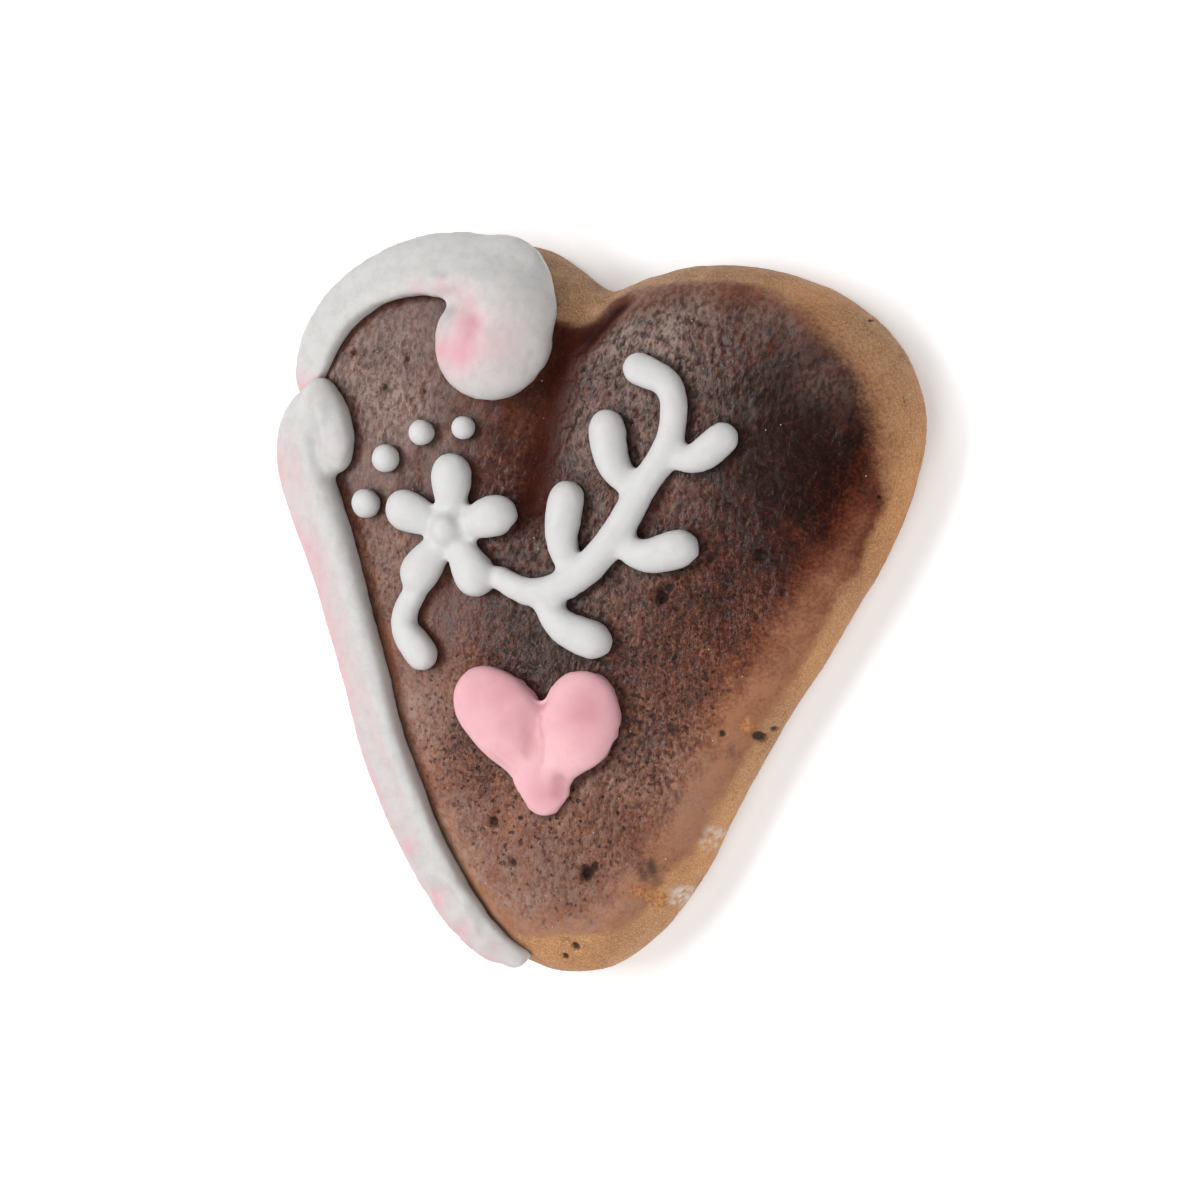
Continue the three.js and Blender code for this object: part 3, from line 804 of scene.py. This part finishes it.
def plainRelief(piece):                         # for the sprig and the dots
    at, out = points(piece), normals(piece)
    lift = 0.07 * noiseAt(at, 2.6, 26) + 0.03 * noiseAt(at, 1.1, 27)
    setPoints(piece, at + out * lift[:, None])


roseHeart = {                                   # two drops, drawn together into a tail
    "middleX": 0.9,
    "furrow": [(0.3, -13.4), (-0.2, -17.1), (-0.9, -19.3), (-1.5, -21.1)],
    "furrowDepth": 0.6,
    "seam": [(0.9, -15.6), (1.1, -17.3), (1.4, -20.0), (1.5, -22.2)],
    "seamDepth": 0.28,
    "ridge": [(-6.4, -21.4), (-5.4, -22.4), (-4.1, -23.7)],
    "ridgeHeight": 0.25,
    "dent": [(3.2, -26.6), (3.9, -25.4), (4.8, -24.4)],
    "dentDepth": 0.3,
    "waist": [(-12, -23.4), (12, -23.4)],       # drawn in here
    "waistSpot": (0.9, -23.6, 9, 4),
    "flare": 0.9,                               # and spread below it
    # painted shade: darker pink on the upper lobes, beside the furrow and on the tail
    "shadeSpots": [(-7.5, -13.6, 5.5, 0.75), (-3.0, -17.0, 4.0, 0.7), (7.6, -14.8, 5.2, 0.75),
             (1.2, -27.0, 3.4, 0.6), (-4.6, -21.0, 3.0, 0.4)],
}


def heartRelief(piece):
    at, out = points(piece), normals(piece)
    up = upward(out)
    furrow, seam = groove(at, roseHeart["furrow"], 1.1), groove(at, roseHeart["seam"], 0.4)
    dent = groove(at, roseHeart["dent"], 0.95) * up
    waist = patch(at, *roseHeart["waistSpot"]) * groove(at, roseHeart["waist"], 1.6)
    spread = fade(-at[:, 1], 24.8, 27) - 1.1 * waist
    lift = 0.10 * noiseAt(at, 3.6, 28) + 0.03 * noiseAt(at, 1.2, 29)
    lift -= (roseHeart["furrowDepth"] * furrow * fade(at[:, 1], -22, -17)
             + roseHeart["seamDepth"] * seam) * up + roseHeart["dentDepth"] * dent
    lift += roseHeart["ridgeHeight"] * groove(at, roseHeart["ridge"], 0.6) * up
    at += out * lift[:, None]
    side = np.clip((at[:, 0] - roseHeart["middleX"]) / 3, -1, 1)
    at[:, 0] += roseHeart["flare"] * side * spread
    setPoints(piece, at)
    # painted shade on the heart, with more in the furrow and the dent
    shadeSpots = patches(at, roseHeart["shadeSpots"], 2) * (0.85 + 0.3 * noiseAt(at, 3.2, 30))
    store(piece, "blush", np.clip(np.maximum(shadeSpots, 0.6 * furrow * up) + 0.7 * dent, 0, 1))
    # painted shade in the dent
    store(piece, "grey", dent * 0.3)


piped = [           # node, piece, voxel in mm, rounds of smoothing, relief, material slot, finish
    ("border_scroll", "borderScroll", 0.36, 14, scrollRelief, "white_icing", whiteIcing),
    ("border_run", "borderRun", 0.36, 16, runRelief, "white_icing", whiteIcing),
    ("flower_sprig", "flowerSprig", 0.33, 10, plainRelief, "white_icing", plainIcing),
    ("pink_heart", "pinkHeart", 0.26, 20, heartRelief, "pink_icing", roseIcing),
]
piped += [(f"dot_{i}", f"icingDot{i}", 0.2, 6, plainRelief, "white_icing", plainIcing)
          for i in range(1, 5)]
for node, name, voxel, rounds, relief, slotName, material in piped:
    finishPiece(pipe(node, name, voxel, rounds, relief), node, material)


studio = {
    "floor": paint(252, 252, 252),
    "floorHalf": 3.0,                           # metres
    "floorDrop": 0.02,                          # mm below the underside
    "glow": 0.22,
    "world": 0.10,
    "lights": [                     # name, direction from the heart, metres off, size, watts
        ("leftLight", (-0.68, 0.05, 0.73), 0.9, 0.7, 0.26, 5.4),
        ("lowLight", (-0.10, -0.62, 0.78), 0.9, 0.5, 0.4, 2.2),
        ("skyLight", (-0.40, 0.50, 0.77), 1.0, 0.5, 0.4, 2.0),
        ("sideLight", (0.75, -0.22, 0.62), 1.0, 0.9, 0.9, 4.6),
    ],
}


def layFloor():
    mesh = bpy.data.meshes.new("floor")
    half = studio["floorHalf"]
    corners = [(-half, -half, 0), (half, -half, 0), (half, half, 0), (-half, half, 0)]
    mesh.from_pydata(corners, [], [(0, 1, 2, 3)])
    floor = bpy.data.objects.new("floor", mesh)
    floor.location.z = -studio["floorDrop"] * mm
    f = Finish("paleFloor")
    f.set({"Base Color": studio["floor"], "Roughness": 0.9, "Emission Color": (1, 1, 1),
           "Emission Strength": studio["glow"]})
    mesh.materials.append(f.material)
    scene.collection.objects.link(floor)


def lightIt():
    world = bpy.data.worlds.new("softWorld")
    world.use_nodes = True
    background = world.node_tree.nodes["Background"]
    background.inputs["Color"].default_value = (1, 1, 1, 1)
    background.inputs["Strength"].default_value = studio["world"]
    scene.world = world
    for name, way, away, width, height, watts in studio["lights"]:
        lamp = bpy.data.lights.new(name, "AREA")
        lamp.shape = "RECTANGLE"
        lamp.size, lamp.size_y = width, height
        lamp.energy = watts
        holder = bpy.data.objects.new(name, lamp)
        holder.location = Vector(way).normalized() * away
        holder.rotation_euler = Vector(way).to_track_quat("Z", "Y").to_euler()
        scene.collection.objects.link(holder)
    scene.view_settings.view_transform = "Standard"


photo = {                                       # how the photograph looks down on the heart
    "tilt": 26.0, "turn": 5.0, "roll": 5.0,     # degrees
    "lens": 100.0, "film": 36.0,                # mm
    "away": 483.1,                              # mm
    "lookAt": (3.56, 1.30, 6.0),                # mm
}


def placeCamera():
    tilt, turn, roll = (math.radians(photo[k]) for k in ("tilt", "turn", "roll"))
    back = Vector((math.sin(tilt) * math.cos(turn), math.sin(tilt) * math.sin(turn),
                   math.cos(tilt)))
    up = (Vector((0, 1, 0)) - back * back.y).normalized()
    right = up.cross(back)
    right, up = (right * math.cos(roll) + up * math.sin(roll),
                 up * math.cos(roll) - right * math.sin(roll))
    lens = bpy.data.cameras.new("camera")
    lens.lens, lens.sensor_width = photo["lens"], photo["film"]
    lens.clip_start = 0.01
    camera = bpy.data.objects.new("camera", lens)
    place = (Vector(photo["lookAt"]) + back * photo["away"]) * mm
    turned = Matrix((right, up, back)).transposed().to_4x4()
    camera.matrix_world = Matrix.Translation(place) @ turned
    scene.collection.objects.link(camera)
    scene.camera = camera


layFloor()
lightIt()
placeCamera()
print("studio set")
